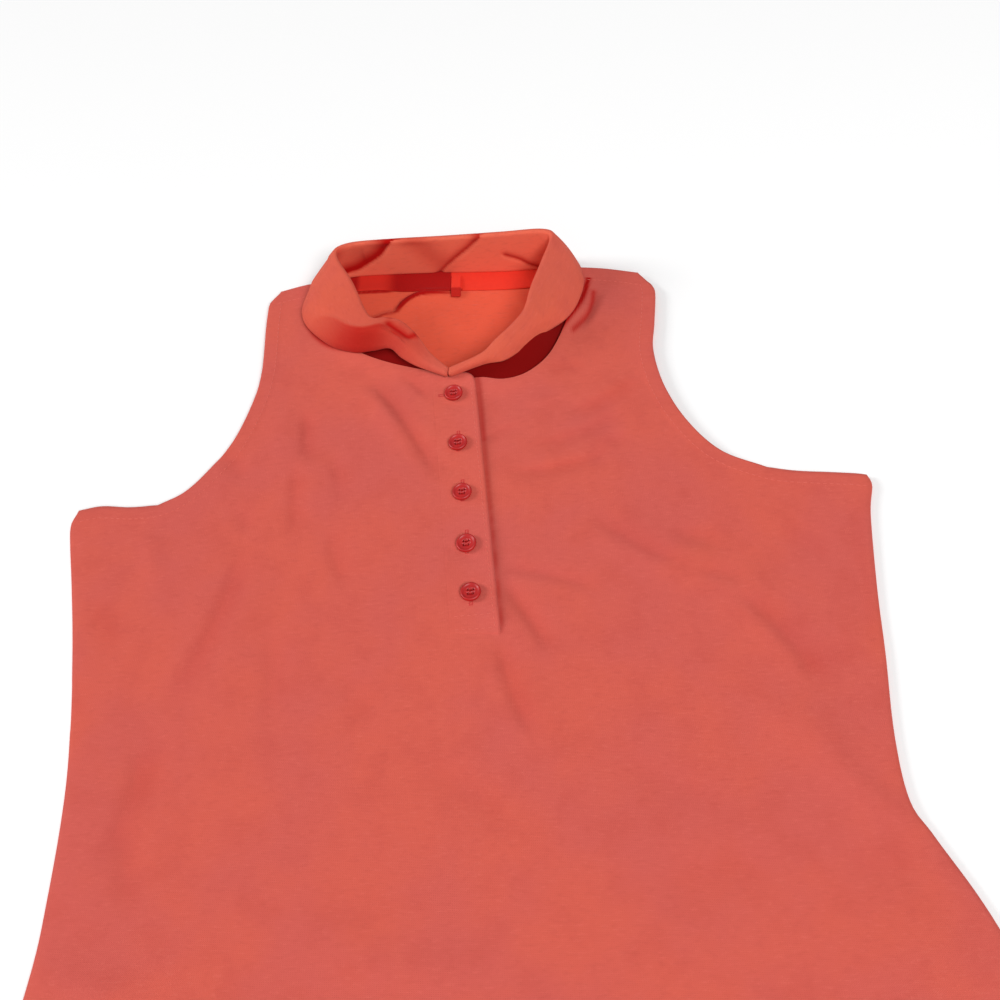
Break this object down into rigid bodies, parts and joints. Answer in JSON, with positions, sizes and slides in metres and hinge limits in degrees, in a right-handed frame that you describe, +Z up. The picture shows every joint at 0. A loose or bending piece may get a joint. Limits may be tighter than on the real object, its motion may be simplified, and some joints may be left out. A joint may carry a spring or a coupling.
{
  "type": "sleeveless polo shirt",
  "caption": "Sleeveless polo shirt laid flat, with a turn-down collar standing open and a buttoned placket.",
  "frame": {"origin": "on the surface it lies on, under the middle of its bounding box", "axes": "+X to the viewer's right across the chest, +Y from hem to neck, +Z up off the surface, out of the front"},
  "size_m": [0.4421, 0.6542, 0.0294],
  "materials": {
    "body_cloth": "soft matt jersey",
    "collar_cloth": "soft matt jersey, two layers",
    "tape_cloth": "smooth woven tape",
    "button_resin": "polished"
  },
  "bodies": {
    "root": {"front_panel": "body_cloth", "back_panel": "body_cloth", "collar": "collar_cloth", "placket_top": "body_cloth", "placket_under": "body_cloth", "neck_tape": "tape_cloth", "neck_tab": "tape_cloth", "button_1": "button_resin", "button_2": "button_resin", "button_3": "button_resin", "button_4": "button_resin", "button_5": "button_resin"}
  },
  "joints": []
}
